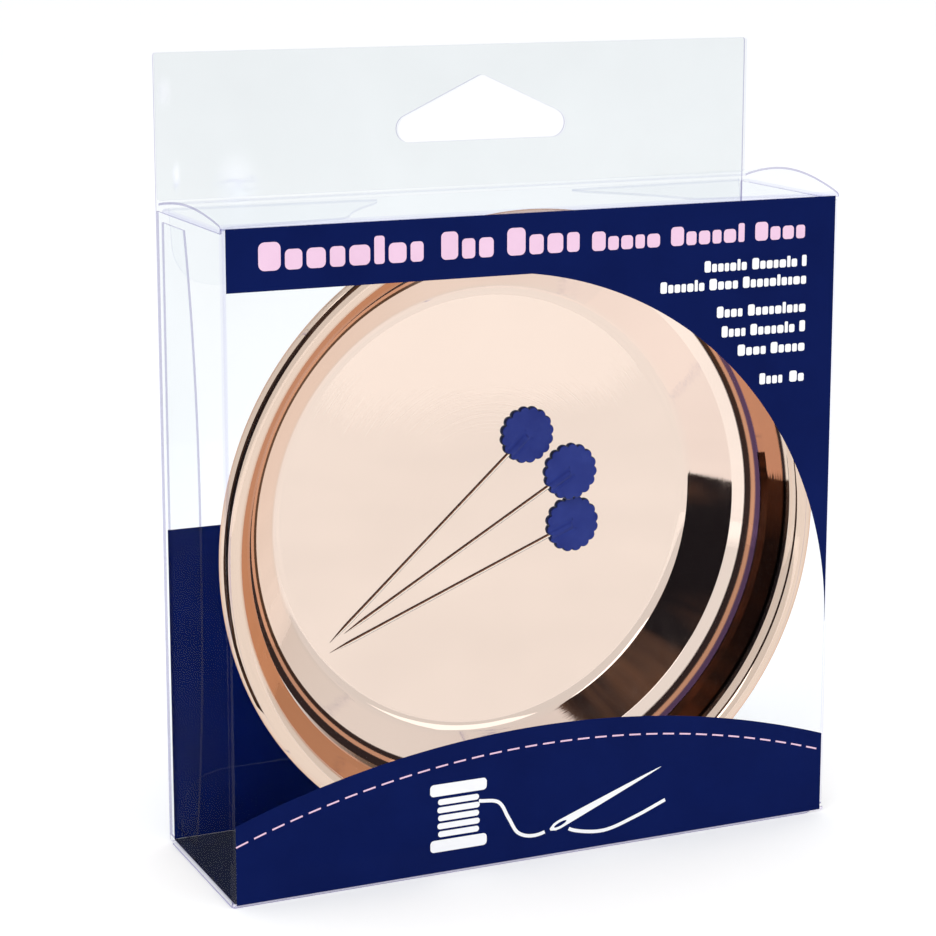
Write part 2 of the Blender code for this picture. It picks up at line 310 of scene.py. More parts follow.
def spun(name, profile, place, mat, segments, closed):
    """A section of (along, radius) points turned about its own line. place(a, b, c) puts a point
    (a along the line, b and c from it) into the box. closed joins the last ring to the first."""
    points, rings = [], []
    for along, radius in profile:
        first = len(points)
        count = segments if radius > 1e-6 else 1
        for i in range(count):
            angle = 2 * math.pi * i / segments
            points.append(place(along, radius * math.cos(angle), radius * math.sin(angle)))
        rings.append(list(range(first, first + count)))
    pairs = list(zip(rings, rings[1:])) + ([(rings[-1], rings[0])] if closed else [])
    faces = [face for one, two in pairs for face in between(one, two)]
    return mesh_object(name, points, faces, [0] * len(faces), [mat])


def turned(name, profile, mat, segments):
    """A closed section of (radius, y) points turned about the dish's axis."""
    return spun(name, [(y, radius) for radius, y in profile],
                lambda a, b, c: (b, a, DISH_Z + c), mat, segments, profile[0][0] > 1e-6)


def piece(obj, slot, body, *nodes, mirrored=True):
    """Hides the nodes that a piece replaces and gives it its body. slot is not used. If it isn't
    mirrored, the shiny surfaces don't show it."""
    obj.visible_glossy = mirrored
    if nodes:
        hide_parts(*nodes)
    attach(obj, body)


# ---- materials ----

# one plating painted in tones as it is lit: painted reflections on the floor, walls, slopes and
# rim, painted shade in the grooves and a painted purple reflection
FLOOR_TONE = (0.865, 0.695, 0.59)
WALL_TONE = (0.88, 0.68, 0.575)
GROOVE_PAINTED_SHADE = (0.035, 0.020, 0.018)
COPPER_TONE = (0.62, 0.29, 0.17)
SLOPE_TONE = (0.53, 0.22, 0.12)
ORANGE_TONE = (0.57, 0.24, 0.125)
RIM_TONE = (0.80, 0.615, 0.495)
SHELF_TONE = (0.98, 0.79, 0.675)
PURPLE_PAINTED_REFLECTION = (0.10, 0.05, 0.10)
PALE_TONE = (0.93, 0.735, 0.62)

# painted reflections and painted shade on the dish's right and left halves, as bands by radius less
# 0.3 of y, in mm
BANDS_FROM, BANDS_TO = 33, 54
RIGHT_PAINTED_BANDS = [
    (33.7, FLOOR_TONE), (35.4, WALL_TONE), (41.05, WALL_TONE), (41.25, SHELF_TONE),
    (43.1, SHELF_TONE), (43.3, GROOVE_PAINTED_SHADE), (43.95, GROOVE_PAINTED_SHADE), (44.1, COPPER_TONE),
    (44.45, COPPER_TONE), (44.6, PURPLE_PAINTED_REFLECTION), (45.15, PURPLE_PAINTED_REFLECTION), (45.35, SLOPE_TONE),
    (48.3, SLOPE_TONE), (48.5, GROOVE_PAINTED_SHADE), (48.8, GROOVE_PAINTED_SHADE), (49.0, RIM_TONE),
    (54.0, RIM_TONE)]
LEFT_PAINTED_BANDS = [
    (33.7, FLOOR_TONE), (35.4, PALE_TONE), (40.3, PALE_TONE), (40.5, GROOVE_PAINTED_SHADE),
    (41.25, GROOVE_PAINTED_SHADE), (41.4, COPPER_TONE), (41.95, COPPER_TONE), (42.1, GROOVE_PAINTED_SHADE),
    (44.4, GROOVE_PAINTED_SHADE), (44.6, ORANGE_TONE), (49.6, ORANGE_TONE), (50.3, RIM_TONE),
    (54.0, RIM_TONE)]


class Surface:
    """A material's node tree, with short names for the nodes used here."""

    def __init__(self, name):
        self.material = bpy.data.materials.new(name)
        self.material.use_nodes = True
        self.tree = self.material.node_tree
        self.tree.nodes.clear()
        self.out = self.tree.nodes.new("ShaderNodeOutputMaterial")
        coords = self.tree.nodes.new("ShaderNodeTexCoord")
        self.coords = coords.outputs["Object"]
        self.normal = coords.outputs["Normal"]

    def link(self, source, target):
        self.tree.links.new(source, target)

    def node(self, kind, **inputs):
        """A node with inputs set or linked. A name's underscores stand for spaces."""
        made = self.tree.nodes.new(kind)
        for name, value in inputs.items():
            socket = made.inputs[name.replace("_", " ")]
            if isinstance(value, bpy.types.NodeSocket):
                self.link(value, socket)
            else:
                socket.default_value = value
        return made

    def parts(self, vector):
        """The X, Y and Z outputs of a vector."""
        return self.node("ShaderNodeSeparateXYZ", Vector=vector).outputs

    def noise(self, scale, detail=3.0, roughness=0.5, stretch=(1, 1, 1)):
        """Noise with features about 1/scale metres wide."""
        mapping = self.node("ShaderNodeMapping", Vector=self.coords, Scale=stretch)
        made = self.node("ShaderNodeTexNoise", Vector=mapping.outputs[0], Scale=scale,
                         Detail=detail, Roughness=roughness)
        return made.outputs["Fac"]

    def speckle(self, scale, edge):
        """Sparse round specks: near 1 within edge of a cell's middle."""
        cells = self.node("ShaderNodeTexVoronoi", Vector=self.coords, Scale=scale)
        return self.spread(cells.outputs["Distance"], edge, 0.0, 0.0, 1.0)

    def spread(self, value, low, high, to_low, to_high, smooth=False):
        made = self.node("ShaderNodeMapRange", Value=value)
        made.interpolation_type = "SMOOTHSTEP" if smooth else "LINEAR"
        for socket, number in zip(made.inputs[1:5], (low, high, to_low, to_high)):
            socket.default_value = number
        return made.outputs[0]

    def maths(self, operation, a, b=None):
        made = self.tree.nodes.new("ShaderNodeMath")
        made.operation = operation
        for socket, value in zip(made.inputs, (a, b)):
            if isinstance(value, bpy.types.NodeSocket):
                self.link(value, socket)
            elif value is not None:
                socket.default_value = value
        return made.outputs[0]

    def ramp(self, fac, stops):
        """A colour ramp of (position, (r, g, b)) stops."""
        made = self.node("ShaderNodeValToRGB", Fac=fac)
        elements = made.color_ramp.elements
        while len(elements) < len(stops):
            elements.new(0.5)
        for element, (position, colour) in zip(elements, stops):
            element.position = position
            element.color = (*colour, 1.0)
        return made.outputs["Color"]

    def mixed(self, fac, one, two):
        made = self.tree.nodes.new("ShaderNodeMix")
        made.data_type = "RGBA"
        sockets = [socket for socket in made.inputs if socket.enabled]
        for socket, value in zip(sockets, (fac, one, two)):
            self.link(value, socket)
        return [socket for socket in made.outputs if socket.enabled][0]

    def bump(self, height, distance, strength=1.0, normal=None):
        """distance is in metres."""
        made = self.node("ShaderNodeBump", Height=height, Distance=distance, Strength=strength)
        if normal is not None:
            self.link(normal, made.inputs["Normal"])
        return made.outputs[0]

    def principled(self, **inputs):
        return self.node("ShaderNodeBsdfPrincipled", **inputs)

    def solid(self, colour, pattern, rough, bump, **inputs):
        """The finished material, its roughness and its bump both following one pattern."""
        return self.finish(self.principled(
            Base_Color=colour, Roughness=self.spread(pattern, *rough),
            Normal=self.bump(pattern, *bump), **inputs))

    def finish(self, shader):
        self.link(shader.outputs[0], self.out.inputs["Surface"])
        return self.material


def clear_sheet(name, clear, shine, head_on, grazing, haze=0.0, glints=()):
    """Clear PET: it lets what is behind it through, tinted, and its outer face mirrors more as it
    is seen edge on. glints are painted highlights, soft spots where the sheet mirrors more: x, z,
    half height and half width, in mm."""
    s = Surface(name)
    smear = s.noise(45.0, 4.0, 0.55)
    scuff = s.noise(900.0, 2.0, 0.6, (1.0, 1.0, 0.15))
    dust = s.speckle(140.0, 0.035)
    facing = s.node("ShaderNodeLayerWeight", Blend=0.5).outputs["Facing"]
    mirror = s.spread(s.maths("POWER", facing, 12.0), 0.0, 1.0, head_on, grazing)
    mirror = s.maths("ADD", mirror, s.maths("MULTIPLY", dust, 0.006))
    mirror = s.maths("ADD", mirror, s.spread(smear, 0.35, 0.75, 0.0, haze))
    # each glint is a painted highlight: a soft spot where the sheet mirrors far more
    for x, z, tall, wide in glints:
        moved = s.node("ShaderNodeMapping", Vector=s.coords, Location=(-x / wide, 0.0, -z / tall),
                       Scale=(1 / (wide * MM), 0.0, 1 / (tall * MM)))
        away = s.node("ShaderNodeVectorMath", Vector=moved.outputs[0])
        away.operation = "LENGTH"
        glint = s.spread(away.outputs["Value"], 0.0, 1.0, 0.85, 0.0, smooth=True)
        uneven = s.spread(smear, 0.3, 0.7, 0.5, 1.0)
        mirror = s.maths("ADD", mirror, s.maths("MULTIPLY", glint, uneven))
    inside = s.tree.nodes.new("ShaderNodeNewGeometry").outputs["Backfacing"]
    mirror = s.maths("MULTIPLY", mirror, s.spread(inside, 0.0, 1.0, 1.0, 0.0))
    tint = s.ramp(smear, [(0.3, clear), (0.75, tuple(min(1.0, c * 1.012) for c in clear))])
    through = s.node("ShaderNodeBsdfTransparent", Color=tint)
    gloss = s.principled(Base_Color=(*shine, 1.0), Metallic=1.0,
                         Roughness=s.spread(scuff, 0.3, 0.8, 0.03, 0.10),
                         Normal=s.bump(smear, 0.0009, 0.35))
    mix = s.node("ShaderNodeMixShader", Fac=mirror)
    s.link(through.outputs[0], mix.inputs[1])
    s.link(gloss.outputs[0], mix.inputs[2])
    return s.finish(mix)


def rose_gold():
    """Copper-pink plating on spun steel. The front face has painted reflections and painted shade
    in bands by radius: cream on the floor, warmer on the walls and dark in the grooves. The back
    face is plain."""
    s = Surface("rose_gold_plate")
    axes = s.parts(s.coords)
    up = s.maths("SUBTRACT", axes["Z"], DISH_Z * MM)
    radius = s.maths("SQRT", s.maths("ADD", s.maths("MULTIPLY", axes["X"], axes["X"]),
                                     s.maths("MULTIPLY", up, up)))
    cloud = s.noise(28.0, 3.0, 0.5)
    wander = s.spread(cloud, 0.3, 0.7, -0.00008, 0.00008)
    depth = s.maths("MULTIPLY", axes["Y"], 0.3)
    along = s.maths("SUBTRACT", s.maths("ADD", radius, wander), depth)
    place = s.spread(along, BANDS_FROM * MM, BANDS_TO * MM, 0.0, 1.0)
    # painted reflections and painted shade by radius, one ramp for the right half and one for the
    # left
    right, left = (s.ramp(place, [((r - BANDS_FROM) / (BANDS_TO - BANDS_FROM), tone)
                                  for r, tone in bands]) for bands in (RIGHT_PAINTED_BANDS, LEFT_PAINTED_BANDS))
    turn = s.maths("DIVIDE", axes["X"], radius)
    painted_reflection_and_shade = s.mixed(s.spread(turn, -0.45, 0.05, 1.0, 0.0, smooth=True), right, left)
    plain = s.ramp(cloud, [(0.3, (0.90, 0.62, 0.48)), (0.7, (0.93, 0.67, 0.54))])
    behind = s.spread(s.parts(s.normal)["Y"], -0.05, 0.25, 0.0, 1.0)
    colour = s.mixed(behind, painted_reflection_and_shade, plain)
    lines = s.node("ShaderNodeTexNoise", Scale=5200.0, Detail=2.0)
    lines.noise_dimensions = "1D"
    s.link(radius, lines.inputs["W"])
    peel = s.noise(420.0, 2.0, 0.5)
    ripple = s.bump(cloud, 0.0012, 0.08)
    skin = s.bump(peel, 0.00001, 0.2, ripple)
    rings = s.bump(lines.outputs["Fac"], 0.000006, 0.35, skin)
    return s.finish(s.principled(Base_Color=colour, Metallic=1.0, Normal=rings,
                                 Specular_Tint=(0.80, 0.60, 0.50, 1.0),
                                 Roughness=s.spread(peel, 0.3, 0.8, 0.025, 0.065)))


def bright_steel():
    s = Surface("bright_steel")
    grain = s.noise(2600.0, 3.0, 0.6)
    colour = s.ramp(grain, [(0.3, (0.44, 0.37, 0.33)), (0.7, (0.58, 0.51, 0.46))])
    return s.solid(colour, grain, (0.3, 0.7, 0.06, 0.14), (0.00002, 0.3), Metallic=1.0)


def pin_steel():
    """Nickelled wire with painted shade and a painted highlight, coloured by the way its surface
    faces:
    dark at the upper left, then brown, a bright line, and dark again at the lower right."""
    s = Surface("pin_steel")
    grain = s.noise(2600.0, 3.0, 0.6)
    normal = s.parts(s.normal)
    # painted shade and a painted highlight, by the direction the surface faces
    down_right = s.maths("SUBTRACT", s.maths("MULTIPLY", normal["X"], 0.5),
                         s.maths("MULTIPLY", normal["Z"], 0.86))
    side = s.maths("ADD", s.spread(down_right, -1.0, 1.0, 0.0, 0.94),
                   s.spread(grain, 0.3, 0.7, 0.0, 0.06))
    colour = s.ramp(side, [(0.0, (0.06, 0.030, 0.022)), (0.16, (0.09, 0.042, 0.028)),
                           (0.26, (0.30, 0.13, 0.080)), (0.38, (0.42, 0.22, 0.14)),
                           (0.46, (0.90, 0.77, 0.66)), (0.68, (0.93, 0.82, 0.72)),
                           (0.76, (0.10, 0.060, 0.045)), (0.94, (0.10, 0.060, 0.045))])
    return s.solid(colour, grain, (0.3, 0.7, 0.10, 0.20), (0.00002, 0.3), Metallic=1.0)


def moulded_blue():
    s = Surface("blue_head_plastic")
    cloud = s.noise(300.0, 3.0, 0.5)
    grain = s.noise(3800.0, 2.0, 0.6)
    # painted shade: the head is painted darker where its surface turns from the flat faces to the
    # rim; cloud adds a random mottle
    flat = s.maths("ABSOLUTE", s.parts(s.normal)["Y"])
    shade = s.maths("ADD", s.spread(flat, 0.35, 0.98, 0.0, 0.75, smooth=True),
                    s.spread(cloud, 0.3, 0.72, 0.0, 0.25))
    colour = s.ramp(shade, [(0.0, (0.003, 0.004, 0.022)), (0.75, (0.017, 0.030, 0.205)),
                            (1.0, (0.026, 0.044, 0.250))])
    return s.solid(colour, grain, (0.3, 0.8, 0.36, 0.52), (0.00006, 0.5), Specular_IOR_Level=0.12)


def black_rubber():
    s = Surface("black_rubber")
    grain = s.noise(1800.0, 4.0, 0.65)
    bloom = s.noise(60.0, 3.0, 0.5)
    colour = s.ramp(bloom, [(0.3, (0.014, 0.014, 0.016)), (0.8, (0.040, 0.040, 0.043))])
    return s.solid(colour, grain, (0.2, 0.8, 0.6, 0.85), (0.00012, 0.6), Specular_IOR_Level=0.3)


def ferrite():
    s = Surface("ferrite")
    grit = s.noise(3000.0, 4.0, 0.7)
    colour = s.ramp(grit, [(0.3, (0.045, 0.045, 0.05)), (0.8, (0.12, 0.12, 0.125))])
    return s.solid(colour, grit, (0.2, 0.8, 0.55, 0.8), (0.00008, 0.6))


def foam():
    s = Surface("adhesive_foam")
    cells = s.node("ShaderNodeTexVoronoi", Vector=s.coords, Scale=2600.0).outputs["Distance"]
    colour = s.ramp(cells, [(0.0, (0.62, 0.60, 0.55)), (0.6, (0.84, 0.83, 0.79))])
    return s.solid(colour, cells, (0.0, 0.8, 0.95, 0.8), (0.0001, 0.6))


def ink(name, dark, light, rough=0.5, specular=0.02):
    """A printed layer: solid colour with the faint mottle and screen grain of ink on film."""
    s = Surface(name)
    mottle = s.noise(70.0, 4.0, 0.6)
    grain = s.noise(6500.0, 2.0, 0.5)
    colour = s.ramp(mottle, [(0.3, dark), (0.75, light)])
    return s.solid(colour, grain, (0.3, 0.8, rough - 0.06, rough + 0.06), (0.000008, 0.4),
                   Specular_IOR_Level=specular)


SHINE = (0.97, 0.975, 1.0)
PET = clear_sheet("clear_pet", (0.980, 0.984, 0.987), SHINE, 0.0002, 0.22, 0.0006)
# the back sheet's three glints are painted highlights
BACK_PET = clear_sheet("clear_pet_back", (0.954, 0.961, 0.963), SHINE, 0.0005, 0.22, 0.002,
                       ((-49.3, 118.0, 3.2, 1.6), (-47.6, 105.2, 3.0, 0.8),
                        (-38.0, 103.4, 7.0, 4.5)))
EDGE = clear_sheet("clear_pet_cut_edge", (0.62, 0.60, 0.74), (0.80, 0.79, 0.92), 0.02, 0.3)
FOLD = clear_sheet("clear_pet_fold", (0.91, 0.91, 0.965), (0.93, 0.93, 1.0), 0.02, 0.25)
LIT_FOLD = clear_sheet("clear_pet_lit_fold", (0.93, 0.91, 0.96), (0.96, 0.93, 1.0), 0.50, 0.9)
SOFT_EDGE = clear_sheet("clear_pet_soft_edge", (0.88, 0.885, 0.93), (0.85, 0.85, 0.95), 0.02, 0.3)
SHEETS = [PET, EDGE, FOLD]
SOFT_SHEETS = [PET, SOFT_EDGE, FOLD]
NAVY = ink("ink_navy", (0.0022, 0.0075, 0.068), (0.0030, 0.0100, 0.085))
NAVY_GLOSS = ink("ink_navy_under_film", (0.0014, 0.0075, 0.086), (0.0022, 0.0105, 0.105), 0.3, 0.01)
# a darker copy of the navy ink, painted shade for the print inside the bottom panel
NAVY_PAINTED_SHADE = ink("ink_navy_in_shade", (0.0004, 0.0022, 0.018), (0.0008, 0.0036, 0.028), 0.4, 0.01)
UNDERBASE = ink("ink_white_underbase", (0.80, 0.80, 0.81), (0.86, 0.86, 0.87), 0.6, 0.1)
PINK = ink("ink_pink", (0.78, 0.52, 0.68), (0.84, 0.58, 0.74))
WHITE = ink("ink_white", (0.88, 0.88, 0.90), (0.95, 0.95, 0.96))
ROSE = rose_gold()
STEEL = bright_steel()
BLUE = moulded_blue()
PIN_STEEL = pin_steel()
RUBBER = black_rubber()
FERRITE = ferrite()
FOAM = foam()


# ---- the clear box ----

def box_outline(x0, z0, x1, z1, r, steps=5):
    """A rectangle with rounded corners."""
    return (arc(x1 - r, z0 + r, r, -90, 0, steps) + arc(x1 - r, z1 - r, r, 0, 90, steps)
            + arc(x0 + r, z1 - r, r, 90, 180, steps) + arc(x0 + r, z0 + r, r, 180, 270, steps))


def hang_hole():
    base = TOP_Z + HOLE_Z
    peak = TOP_Z + HOLE_APEX_Z
    slope = math.degrees(math.atan2(peak - base, HOLE_HALF))
    right = arc(HOLE_X + HOLE_HALF, base, HOLE_END_R, -90, 90 - slope, 16)
    top = arc(HOLE_X, peak, HOLE_APEX_R, 90 - slope, 90 + slope, 12)
    left = arc(HOLE_X - HOLE_HALF, base, HOLE_END_R, 90 + slope, 270, 16)
    return right + top + left


def wrap():
    """The left side, front and right side of the box as one sheet with two rounded folds."""
    end_y = BACK_LOW.y - 0.02
    corners = [(-SIDE_X, end_y), (-SIDE_X, FRONT_Y), (SIDE_X, FRONT_Y), (SIDE_X, end_y)]
    path = resampled(rounded(corners, [FOLD_R, FOLD_R]), 2.5)
    side_length = end_y - FRONT_Y
    front_length = 2 * SIDE_X
    low, high = LEFT_LOW.z, LEFT_HIGH.z

    def sides(s):
        on_front = side_length - 0.4 < s < side_length + front_length - 1.2
        return (0.05, TOP_Z - 0.55) if on_front else (low, high)

    def is_fold(s0, s1):
        past_first = (s0 + s1) / 2 - side_length
        return abs(past_first + 0.2) < 0.7 or abs(past_first - front_length + 0.6) < 0.9

    obj = folded("box_wrap", path, sides, lambda a, b, c: (a, b, c), SHEETS, 24, is_fold=is_fold)
    piece(obj, "clear_pet", "box", "front_panel", "left_side_panel", "right_side_panel")


def back_and_tab():
    outline = box_outline(-HALF_W, 0.05, HALF_W, TAB_Z, 0.5)
    obj = plate("box_back", [outline, hang_hole()], BACK_Y - SHEET / 2, SHEET, [BACK_PET, EDGE])
    piece(obj, "clear_pet", "box", "back_panel")
    outline = box_outline(-HALF_W, PLY_LOW.z, HALF_W, TAB_Z, 0.5)
    ply = plate("box_tab_ply", [outline, hang_hole()], (PLY_LOW.y + PLY_HIGH.y) / 2, SHEET,
                [BACK_PET, SOFT_EDGE])
    piece(ply, "clear_pet", "box", "hang_tab_ply")


def glue_seam():
    """The seam flap inside the left side, its free edge bowed."""
    x = (SEAM_LOW.x + SEAM_HIGH.x) / 2
    low, high = SEAM_LOW.z, SEAM_HIGH.z
    path = resampled([(x, low), (x, high)], 2.5)

    def sides(s):
        t = -1 + 2 * s / (high - low)
        return -0.9 + 5.0 * abs(t) ** 2.4, SEAM_HIGH.y

    obj = folded("box_glue_flap", path, sides, lambda a, b, c: (a, c, b), SHEETS, 6)
    piece(obj, "clear_pet", "box", "glue_flap")


def closure(prefix, up, cover):
    """The lid, or the bottom turned over: cover, tuck flap and two dust flaps. cover names the
    cover's piece and the CAD panel that it replaces."""
    face = TOP_Z if up > 0 else 0.0
    level = face - up * SHEET / 2
    back = LID_HIGH.y
    foot = face - up * HINGE_DROP
    path = resampled(rounded([(FRONT_Y, foot), (FRONT_Y, level), (back, level)], [FOLD_R]), 1.0)
    reach = back - FRONT_Y

    def lift(x, y):
        across = (x + HALF_W) / (2 * HALF_W)
        bow = (BOW_LEFT + (BOW_RIGHT - BOW_LEFT) * across ** 2) if up > 0 else 0.0
        along = min(max((y - FRONT_Y - 0.4) / (reach - 0.4), 0.0), 1.0)
        return bow * math.sin(math.pi * along) ** 0.9

    obj = folded(f"box_{cover}", path, lambda s: (-HALF_W + 0.02, HALF_W - 0.02),
                 lambda a, b, c: (c, a, b + up * lift(c, a)),
                 [PET, EDGE, FOLD if up > 0 else LIT_FOLD, SOFT_EDGE], 40,
                 is_fold=lambda s0, s1: s1 < 1.6)
    for polygon in obj.data.polygons:
        if polygon.center.y > (back - 0.4) * MM:
            polygon.material_index = 3  # the edge that the tuck flap hangs from
    obj.visible_glossy = up > 0
    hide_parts(f"{cover}_panel")
    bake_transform(obj)

    tuck_low, tuck_high = span(f"{prefix}_tuck_flap")
    root = (back - SHEET * 0.6, level - up * 0.55)
    tip = (root[0] - math.sin(TUCK_TILT) * TUCK_LENGTH,
           root[1] - up * math.cos(TUCK_TILT) * TUCK_LENGTH)
    half = (tuck_high.x - tuck_low.x) / 2

    def tuck_sides(s):
        into = max(s - (TUCK_LENGTH - TUCK_CORNER), 0.0)
        cut = TUCK_CORNER - math.sqrt(max(TUCK_CORNER ** 2 - into ** 2, 0.0))
        return -half + cut, half - cut

    flap = folded(f"box_{prefix}_tuck", resampled([root, tip], 0.6), tuck_sides,
                  lambda a, b, c: (c, a, b), [PET, SOFT_EDGE], 30)
    piece(flap, "clear_pet", f"{prefix}_tuck", f"{prefix}_tuck_flap")
    dust(prefix, up, "left", -1)
    dust(prefix, up, "right", 1)


def dust(prefix, up, side_name, side):
    """A dust flap, folded in from the side panel's end."""
    node = f"{prefix}_{side_name}_dust_flap"
    low, high = span(node)
    level = (low.z + high.z) / 2
    foot = (LEFT_HIGH.z + 0.02) if up > 0 else (LEFT_LOW.z - 0.02)
    tip = min(abs(low.x), abs(high.x))
    corners = [(side * SIDE_X, foot), (side * SIDE_X, level), (side * tip, level)]
    path = resampled(rounded(corners, [DUST_FOLD_R]), 0.8)
    total = sum(math.dist(a, b) for a, b in zip(path, path[1:]))

    def sides(s):
        d = s / total * DUST_REACH
        return at(DUST_FRONT, d), at(DUST_BACK, d)

    obj = folded(f"box_{node}", path, sides, lambda a, b, c: (a, c, b), SOFT_SHEETS, 10,
                 is_fold=lambda s0, s1: s1 < 0.9)
    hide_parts(node)
    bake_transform(obj)


# ---- the print ----

def printed(name, outlines, mat, y=OVERPRINT_Y, behind=()):
    obj = plate(name, outlines, y, INK, [mat, mat, *behind])
    piece(obj, "clear_pet", "box", mirrored=False)


def height_on(circle, x):
    cx, cz, radius = circle
    return cz + math.sqrt(max(radius ** 2 - (x - cx) ** 2, 0.0))


def front_print():
    edge = HALF_W - PRINT_INSET
    top = TOP_Z - 0.57
    cx, cz, radius = WINDOW
    start = cx + math.sqrt(radius ** 2 - (BAND_LOW - cz) ** 2)
    across = [start + (edge - start) * math.sin(math.pi / 2 * i / 60) for i in range(61)]
    curve = [(x, height_on(WINDOW, x)) for x in across]
    band = [(-edge, BAND_LOW)] + curve + [(edge, top), (-edge, top)]
    printed("print_top_band", [band], NAVY, INK_Y, [UNDERBASE])
    across = [-edge + 2 * edge * i / 80 for i in range(81)]
    arch = [(x, height_on(ARCH, x)) for x in across]
    printed("print_lower_block", [[(-edge, INK_FOOT)] + arch + [(edge, INK_FOOT)]], NAVY, INK_Y,
            [UNDERBASE])
    stitches(edge)
    greeked_words()
    thread_motif()
    back = [(-edge, INK_FOOT), (edge, INK_FOOT), (edge, BACK_INK_TOP), (-edge, BACK_INK_TOP)]
    printed("print_back_block", [back], NAVY_GLOSS, BACK_LOW.y - INK)
    level = span("bottom_panel")[1].z + INK
    path = resampled([(FACE_Y + 0.35, level), (BACK_LOW.y - 0.02, level)], 3.0)
    obj = folded("print_bottom_block", path, lambda s: (-edge, edge), lambda a, b, c: (c, a, b),
                 [NAVY_PAINTED_SHADE, NAVY_PAINTED_SHADE], 20, INK)
    piece(obj, "clear_pet", "bottom", mirrored=False)


def stitches(edge):
    """A pink running stitch under the arch: 2 mm dashes at a 3 mm pitch."""
    cx, cz, radius = STITCH
    pitch, dash, half = 3.0 / radius, 2.0 / radius, 0.125
    first = math.asin((-edge - cx) / radius)
    last = math.asin((edge - cx) / radius)
    outlines = []
    angle = first
    while angle < last:
        end = min(angle + dash, last)
        inner, outer = [], []
        for k in range(4):
            a = angle + (end - angle) * k / 3
            inner.append((cx + (radius - half) * math.sin(a), cz + (radius - half) * math.cos(a)))
            outer.append((cx + (radius + half) * math.sin(a), cz + (radius + half) * math.cos(a)))
        outlines.append(inner + outer[::-1])
        angle += pitch
    printed("print_stitches", outlines, PINK)


def word(x, width, base, cap, pitch):
    """A word as a row of plain rounded blocks of mixed width, every fifth one tall."""
    pattern = (1.15, 0.9, 1.0, 0.8, 1.1, 0.55, 0.95, 0.7)
    count = max(1, round(width / pitch))
    shares = [pattern[k % len(pattern)] for k in range(count)]
    gap = pitch * 0.2
    unit = (width - gap * (count - 1)) / sum(shares)
    blocks = []
    for k, share in enumerate(shares):
        tall = cap if k % 5 == 0 else cap * 0.72
        wide = unit * share
        blocks.append(box_outline(x, base, x + wide, base + tall, min(wide, tall) * 0.28))
        x += wide + gap
    return blocks


def greeked_words():
    """Rows of plain blocks where the printed words are, with no lettering."""
    blocks = []
    for x, width in ((-45.2, 25.4), (-17.0, 8.4), (-6.4, 11.9)):
        blocks += word(x, width, 94.6, 4.1, 3.2)
    for x, width in ((7.6, 11.5), (21.0, 12.8), (35.7, 8.9)):
        blocks += word(x, width, 94.5, 2.9, 2.2)
    printed("print_title_blocks", blocks, PINK)
    blocks = []
    for base, words in ((90.1, ((26.9, 7.4), (35.3, 8.0), (44.2, 0.8))),
                        (87.3, ((19.3, 7.6), (27.8, 5.0), (33.7, 11.3))),
                        (82.9, ((29.2, 4.5), (34.7, 10.3))),
                        (79.8, ((30.1, 4.2), (35.2, 7.9), (44.0, 1.0))),
                        (76.7, ((33.0, 5.0), (38.9, 6.1))),
                        (71.9, ((37.0, 4.1), (42.4, 2.6)))):
        for x, width in words:
            blocks += word(x, width, base, 1.75, 1.12)
    printed("print_small_blocks", blocks, WHITE)


def ribbon(points, width):
    """The outline of a line of even width along points, with square ends."""
    left, right = [], []
    for i, point in enumerate(points):
        along = heading(points, i)
        offset = Vector((-along.y, along.x)) * width / 2
        left.append((point[0] + offset.x, point[1] + offset.y))
        right.append((point[0] - offset.x, point[1] - offset.y))
    return left + right[::-1]


def thread_motif():
    """A spool, a trailing thread and a needle, in place of the printed mark."""
    spool = [box_outline(-19.0, 12.6, -9.6, 14.5, 0.6), box_outline(-19.0, 3.7, -9.6, 5.6, 0.6)]
    for k in range(5):
        z = 6.05 + k * 1.28
        spool.append(box_outline(-17.7 - 0.12 * (k % 2), z, -10.9 + 0.12 * (k % 2), z + 0.92, 0.42))
    printed("print_spool", spool, WHITE)
    tail = Vector((1.2, 4.4))
    point = Vector((20.6, 11.9))
    along = (point - tail).normalized()
    across = Vector((-along.y, along.x))
    length = (point - tail).length
    upper, lower = [], []
    for i in range(25):
        t = i / 24
        half = 0.74 * (1 - t) ** 0.75 + 0.02 if t > 0.06 else 0.74 * math.sqrt(max(t / 0.06, 0.05))
        middle_line = tail + along * (length * t)
        upper.append(tuple(middle_line + across * half))
        lower.append(tuple(middle_line - across * half))
    eye_at = tail + along * 1.9
    eye = [tuple(eye_at + along * (1.15 * math.cos(a)) + across * (0.3 * math.sin(a)))
           for a in (2 * math.pi * k / 18 for k in range(18))]
    printed("print_needle", [upper + lower[::-1], eye], WHITE)
    left = through((-10.9, 10.9), (-7.6, 10.2), (-5.9, 7.4), (-4.2, 4.7), (-1.2, 3.9), eye_at)
    right = through(eye_at, (5.6, 3.6), (10.6, 2.9), (16.0, 4.3), (21.4, 6.3))
    printed("print_thread", [ribbon(left[:-5], 0.55), ribbon(right[5:], 0.55)], WHITE)


def through(*knots, steps=8):
    """A smooth curve through the knots."""
    knots = [Vector(knot) for knot in knots]
    ends = [knots[0] * 2 - knots[1]] + knots + [knots[-1] * 2 - knots[-2]]
    points = []
    for a, b, c, d in zip(ends, ends[1:], ends[2:], ends[3:]):
        for k in range(steps):
            t = k / steps
            points.append(tuple(0.5 * (b * 2 + (c - a) * t + (a * 2 - b * 5 + c * 4 - d) * t * t
                                       + (b * 3 - a - c * 3 + d) * t ** 3)))
    points.append(tuple(knots[-1]))
    return points


# ---- the dish ----

DISH_FLOOR_Y = 6.6
RIM_Y = -9.85  # the rolled rim's middle
RIM_ROLL = 1.65  # and its radius
BOWL_STEEL = 0.6  # thickness of the pressed sheet


